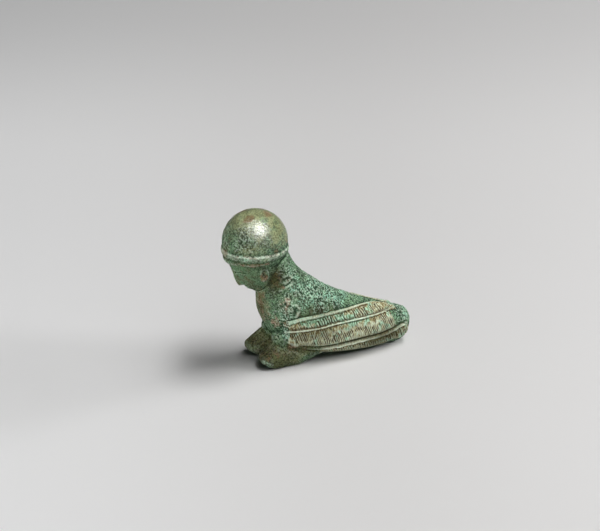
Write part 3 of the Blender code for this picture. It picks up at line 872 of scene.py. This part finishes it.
filletTop, filletShade = filletLines(places)
deep, lessDeep = surface.hollowDepths
shades = {name: zoneStrength(places, name) for name in ("crust", "brown", "olive", "calm", "dull")}
shades |= {
    "pitted": pitted,
    "pit": np.clip(np.maximum(largePits, 0.8 * smallPits) * varied(surface.pitShades, pitted), 0, 1),
    "gloss": zoneStrength(places, "gloss") * (1 - 0.8 * pitted),
    "feather": onBand * (1 - 0.5 * shades["crust"]),
    # pale ridges and fillet edge: rubbed bronze, partly a painted highlight
    "ridge": np.clip(
        onRidge * varied(surface.ridgeWear, wear) + filletTop * varied(surface.filletWear, wear), 0, 1),
    "knob": np.clip(marked * varied(surface.knobWear, wear) / marks["shoulder knob"][1], 0, 1),
    "crease": np.clip(inCrease + surface.filletShade * filletShade, 0, 1),
    "hollow": np.clip(hollowness(fused, 4) / (deep - lessDeep * onBand), -1, 1),
    "valley": np.clip(hollowness(fused, 40) / surface.valleyDepth, -1, 1),
}
for name, values in shades.items():
    fused.attributes.new(name, "FLOAT", "POINT").data.foreach_set("value", values.astype(np.float32))
print("surface marked and shaded")

fused.transform(Matrix.Translation((0, feetY, 0)) @ Matrix.Scale(module, 4))
fused.shade_smooth()

patina = SimpleNamespace(
    colours={
        "deepGreen": (0.018, 0.040, 0.021), "green": (0.140, 0.255, 0.135),
        "mint": (0.300, 0.535, 0.370), "teal": (0.200, 0.420, 0.325),
        "oliveDark": (0.100, 0.110, 0.042), "olive": (0.285, 0.315, 0.165),
        "brownDark": (0.050, 0.034, 0.018), "umber": (0.020, 0.018, 0.006),
        "moss": (0.062, 0.072, 0.022), "earth": (0.090, 0.060, 0.020), "brown": (0.165, 0.112, 0.048),
        "pink": (0.400, 0.260, 0.190), "tan": (0.345, 0.320, 0.160), "pale": (0.670, 0.780, 0.630),
        "worn": (0.152, 0.160, 0.088),
    },
    noises={  # size in metres, detail, seed and stretch upwards
        "broad": (0.0040, 3.0, 0.07, 1.0),
        "patch": (0.0016, 5.0, 0.01, 1.0),
        "otherPatch": (0.0024, 2.0, 0.05, 1.0),
        "shadePatch": (0.00192, 3.0, 0.09, 1.0),
        "grain": (0.00039, 3.0, 0.02, 1.0),
        "spec": (0.00030, 1.5, 0.03, 1.0),
        "streak": (0.00036, 2.0, 0.04, 3.2),
    },
    noiseRoughness=0.6,
    tones={  # where a tone starts and is full, over its noise or attribute, and its most
        "green": (0.455, 0.56, 1), "olive": (0.4, 0.58, 1), "oliveBreak": (0.46, 0.66, 0.7),
        "crust": (0.47, 0.6, 1), "teal": (0.42, 0.58, 1), "shade": (0.5, 0.66, 0.62),
        "tan": (0.42, 0.56, 1), "verdigris": (0.54, 0.64, 1), "featherMint": (0.42, 0.58, 1),
        "featherDark": (0.42, 0.34, 1), "featherPale": (0.56, 0.64, 0.5), "worn": (0.42, 0.58, 1),
        "pink": (0.48, 0.64, 1), "brown": (0.36, 0.52, 1), "rosy": (0.47, 0.58, 1),
        "ridge": (0.34, 0.54, 0.95), "knob": (0.44, 0.58, 0.5), "rubbed": (-0.15, -0.8, 0.35),
        "speck": (0.55, 0.63, 0.85), "hollow": (0.05, 0.55, 0.85), "valley": (0.1, 0.9, 0.45),
        "earth": (0.47, 0.58, 1), "umber": (0.42, 0.58, 1), "zoneEdge": (0.3, 0.62, 1),
    },
    raggedness={"olive": 1.2, "crust": 1.4, "feather": 1.0, "brown": 1.6},
    textureShares=(0.75, 0.25),  # of the grain and of the patches
    shares={"calm": 0.64, "brown": 0.85, "crease": 0.78, "pit": 0.8},
    crustVerdigris=0.22, rosyShare=0.62, speckPaleness=0.5, dullShare=0.96, dullCrust=0.75,
    roughness=0.96, glossPolish=0.68, specRoughness=0.25, coatRoughness=0.29, specular=0.08,
    specRelief=0.6, bumpDepth=0.00024,
    bumpShares=(0.50, 0.50, 0.17),  # everywhere, more where pitted, and less where glossy
)


class Nodes:  # short ways to add nodes to one material
    def __init__(self, name):
        self.material = bpy.data.materials.new(name)
        self.material.use_nodes = True
        self.tree = self.material.node_tree
        self.surface = self.tree.nodes["Principled BSDF"]

    def add(self, kind, inputs, output=0, **settings):
        node = self.tree.nodes.new(kind)
        for setting, value in settings.items():
            setattr(node, setting, value)
        for socket, value in inputs.items():
            if isinstance(value, bpy.types.NodeSocket):
                self.tree.links.new(value, node.inputs[socket])
            else:
                node.inputs[socket].default_value = value
        return node.outputs[output]

    def link(self, value, socket):
        self.tree.links.new(value, self.surface.inputs[socket])

    def maths(self, operation, a, b):
        return self.add("ShaderNodeMath", {0: a, 1: b}, operation=operation)

    times = partialmethod(maths, "MULTIPLY")
    plus = partialmethod(maths, "ADD")
    less = partialmethod(maths, "SUBTRACT")

    def objectPlace(self):
        return self.add("ShaderNodeTexCoord", {}, output="Object")

    def attribute(self, name):
        return self.add("ShaderNodeAttribute", {}, output="Fac", attribute_name=name)

    def painted(self, name):
        return self.times(self.attribute(name), patina.shares[name])

    def noise(self, name):
        size, detail, seed, stretch = patina.noises[name]
        moved = self.add("ShaderNodeMapping", {
            "Vector": self.objectPlace(),
            "Location": (seed, seed * 0.7, seed * 0.3),
            "Scale": (1, 1, 1 / stretch),
        })
        shape = {"Scale": 1 / size, "Detail": detail, "Roughness": patina.noiseRoughness}
        return self.add("ShaderNodeTexNoise", {"Vector": moved, **shape})

    def ramp(self, value, low, high):
        limits = {"Value": value, "From Min": low, "From Max": high}
        return self.add("ShaderNodeMapRange", limits, interpolation_type="SMOOTHSTEP")

    def tone(self, value, name):
        low, high, most = patina.tones[name]
        return self.times(self.ramp(value, low, high), most)

    def zone(self, name, grain):  # a zone whose edge follows a noise
        ragged = self.times(self.less(grain, 0.5), patina.raggedness[name])
        return self.tone(self.plus(self.attribute(name), ragged), "zoneEdge")

    def mix(self, share, a, b):  # a name stands for one of the patina's colours
        a, b = ((*patina.colours[tone], 1) if isinstance(tone, str) else tone for tone in (a, b))
        return self.add("ShaderNodeMix", {0: share, 6: a, 7: b}, output=2, data_type="RGBA")


def bronzeMaterial():
    n = Nodes("patinated bronze")
    broad, patch, otherPatch, shadePatch, grain, spec, streak = map(n.noise, patina.noises)
    pitted, hollow, gloss = map(n.attribute, ("pitted", "hollow", "gloss"))
    grainShare, patchShare = patina.textureShares
    texture = n.plus(n.times(grain, grainShare), n.times(otherPatch, patchShare))

    colour = n.mix(n.tone(texture, "green"), "deepGreen", "green")
    oliveTone = n.mix(n.tone(texture, "olive"), "oliveDark", "olive")
    oliveTone = n.mix(n.tone(patch, "oliveBreak"), oliveTone, colour)
    crustShare = n.times(n.zone("crust", broad), n.tone(texture, "crust"))
    featherTone = n.mix(n.tone(streak, "tan"), "brown", "tan")
    verdigris = n.plus(patch, n.times(n.attribute("crust"), patina.crustVerdigris))
    verdigrisTone = n.mix(n.tone(streak, "featherMint"), "green", "mint")
    featherTone = n.mix(n.tone(verdigris, "verdigris"), featherTone, verdigrisTone)
    featherTone = n.mix(n.tone(streak, "featherDark"), featherTone, "brownDark")
    featherTone = n.mix(n.tone(streak, "featherPale"), featherTone, "pale")
    brownTone = n.mix(n.tone(patch, "pink"), "brown", "pink")
    brownTone = n.mix(n.tone(texture, "brown"), "brownDark", brownTone)
    paleTone = n.mix(n.tone(patch, "rosy"), "pale", n.mix(patina.rosyShare, "pale", "pink"))
    dark = n.mix(n.attribute("feather"), "deepGreen", "brownDark")
    dullAndShadeTone = n.mix(n.tone(patch, "earth"), "moss", "earth")
    dullAndShadeTone = n.mix(n.tone(texture, "umber"), "umber", dullAndShadeTone)
    dullShare = n.less(patina.dullShare, n.times(crustShare, patina.dullCrust))
    layers = [  # each over the last: where it shows, and its colour
        (n.zone("olive", broad), oliveTone),
        (crustShare, n.mix(n.tone(patch, "teal"), "mint", "teal")),
        (n.times(n.tone(shadePatch, "shade"), n.less(1.0, gloss)), "deepGreen"),
        (n.zone("feather", patch), featherTone),
        (n.painted("calm"), n.mix(n.tone(otherPatch, "worn"), "worn", "green")),
        (n.times(n.zone("brown", patch), patina.shares["brown"]), brownTone),
        # pale ridges, fillet edge and raised marks: rubbed bronze, partly a painted highlight
        *((n.times(n.attribute(name), n.tone(texture, name)), paleTone) for name in ("ridge", "knob")),
        (n.tone(hollow, "rubbed"), "pale"),
        (n.times(n.tone(spec, "speck"), pitted), n.mix(patina.speckPaleness, "mint", "pale")),
        # painted shade in the creases over the bands and under the fillet
        (n.painted("crease"), dark),
        # dark patina deep in hollows, together with painted shade there
        (n.tone(hollow, "hollow"), dark),
        (n.painted("pit"), "deepGreen"),
        # painted shade over the broad hollows
        (n.tone(n.attribute("valley"), "valley"), dark),
        # dark dull patina, with painted shade under the head, on the crown's left and under the tail
        (n.times(n.attribute("dull"), dullShare), dullAndShadeTone),
    ]
    for share, tone in layers:
        colour = n.mix(share, colour, tone)
    n.link(colour, "Base Color")

    rough = n.less(patina.roughness, n.times(gloss, patina.glossPolish))
    rough = n.plus(rough, n.times(n.less(spec, 0.5), patina.specRoughness))
    n.link(rough, "Roughness")
    n.link(gloss, "Coat Weight")
    n.surface.inputs["Coat Roughness"].default_value = patina.coatRoughness
    n.surface.inputs["Specular IOR Level"].default_value = patina.specular
    everywhere, whenPitted, whenGlossy = patina.bumpShares
    strength = n.less(n.plus(everywhere, n.times(pitted, whenPitted)), n.times(gloss, whenGlossy))
    relief = n.plus(grain, n.times(spec, patina.specRelief))
    bumps = {"Strength": strength, "Distance": patina.bumpDepth, "Height": relief}
    normal = n.add("ShaderNodeBump", bumps)
    n.link(normal, "Normal")
    n.link(normal, "Coat Normal")
    return n.material


fused.materials.clear()
fused.materials.append(bronzeMaterial())
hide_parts("siren_statuette")
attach(statuette, "root")

# Camera, at the photograph's angle.
view = SimpleNamespace(
    azimuth=70, elevation=24, distance=0.9, lens=233, target=(-0.00602, -0.00216, 0.01958),
)
azimuth, elevation = math.radians(view.azimuth), math.radians(view.elevation)
towards = Vector((
    math.cos(elevation) * math.sin(azimuth), -math.cos(elevation) * math.cos(azimuth), math.sin(elevation)))
camera = bpy.data.objects.new("camera", bpy.data.cameras.new("camera"))
camera.data.lens = view.lens
camera.data.sensor_width = 36
camera.data.clip_start = 0.01
camera.location = Vector(view.target) + towards * view.distance
camera.rotation_euler = towards.to_track_quat("Z", "Y").to_euler()
scene.collection.objects.link(camera)
scene.camera = camera

# Floor and light. The paper is painted lighter across the view to the left and nearer, towards the camera:
# painted light falloff.
table = SimpleNamespace(
    size=1.5, across=(-0.58, -1.60, 0), acrossEnds=(-0.04, 0.16), nearer=(0.38, -0.14, 0),
    nearerSteps=((-0.10, -0.045, 0.6), (-0.05, 0.06, 0.4)),  # start, end and share
    near=((0.734, 0.726, 0.720, 1), (0.98, 0.98, 0.98, 1)),
    far=((0.562, 0.556, 0.553, 1), (0.605, 0.605, 0.605, 1)), roughness=0.9,
)
floorShape = bmesh.new()
bmesh.ops.create_grid(floorShape, x_segments=1, y_segments=1, size=table.size)
floor = newObject(floorShape, "floor")
paper = Nodes("pale paper")


def paperReach(direction):
    ends = {0: paper.objectPlace(), 1: direction}
    return paper.add("ShaderNodeVectorMath", ends, output=1, operation="DOT_PRODUCT")


# painted light falloff: the paper's colour grows lighter to the left and towards the camera
across, nearer = paper.ramp(paperReach(table.across), *table.acrossEnds), paperReach(table.nearer)
steps = [paper.times(paper.ramp(nearer, start, end), share) for start, end, share in table.nearerSteps]
farTone, nearTone = paper.mix(across, *table.far), paper.mix(across, *table.near)
paper.link(paper.mix(paper.plus(*steps), farTone, nearTone), "Base Color")
paper.surface.inputs["Roughness"].default_value = table.roughness
floor.data.materials.append(paper.material)

studio = {  # direction, distance, size, power, and what it lights
    "overBox": ((0.116, 0.302, 0.946), 0.8, (0.53, 0.18), 3.46, "floor"),
    "lowBox": ((0.155, 0.864, 0.479), 0.8, (0.67, 0.09), 4.82, "floor"),
    "softBox": ((0.17, 0.55, 0.82), 0.8, (0.44, 0.24), 6.4, "statuette"),
    "backBox": ((-0.27, 0.5, 0.82), 0.8, (0.4, 0.24), 1.6, "statuette"),
    "fill": ((0.6, -0.62, 0.5), 0.9, (0.7, 0.7), 6.0, "statuette"),
    "sheen": ((0.609, 0.064, 0.792), 0.8, (0.38, 0.38), 29.0, "gloss"),
}
receivers = {}
for name, thing in (("floor", floor), ("statuette", statuette)):
    receivers[name] = bpy.data.collections.new(name + " only")
    receivers[name].objects.link(thing)
for name, (place, distance, size, power, lights) in studio.items():
    light = bpy.data.lights.new(name, "AREA")
    light.shape = "RECTANGLE"
    light.size, light.size_y = size
    light.energy = power
    holder = bpy.data.objects.new(name, light)
    direction = Vector(place).normalized()
    holder.location = direction * distance
    holder.rotation_euler = direction.to_track_quat("Z", "Y").to_euler()
    holder.visible_diffuse = lights != "gloss"  # the sheen only shines on the glossy crown
    holder.visible_glossy = lights != "statuette"
    if lights in receivers:
        holder.light_linking.receiver_collection = receivers[lights]
    scene.collection.objects.link(holder)
world = bpy.data.worlds.new("soft room")
world.use_nodes = True
background = world.node_tree.nodes["Background"]
background.inputs["Color"].default_value = (1, 1, 1, 1)
background.inputs["Strength"].default_value = 0.012
scene.world = world
scene.view_settings.view_transform = "Standard"
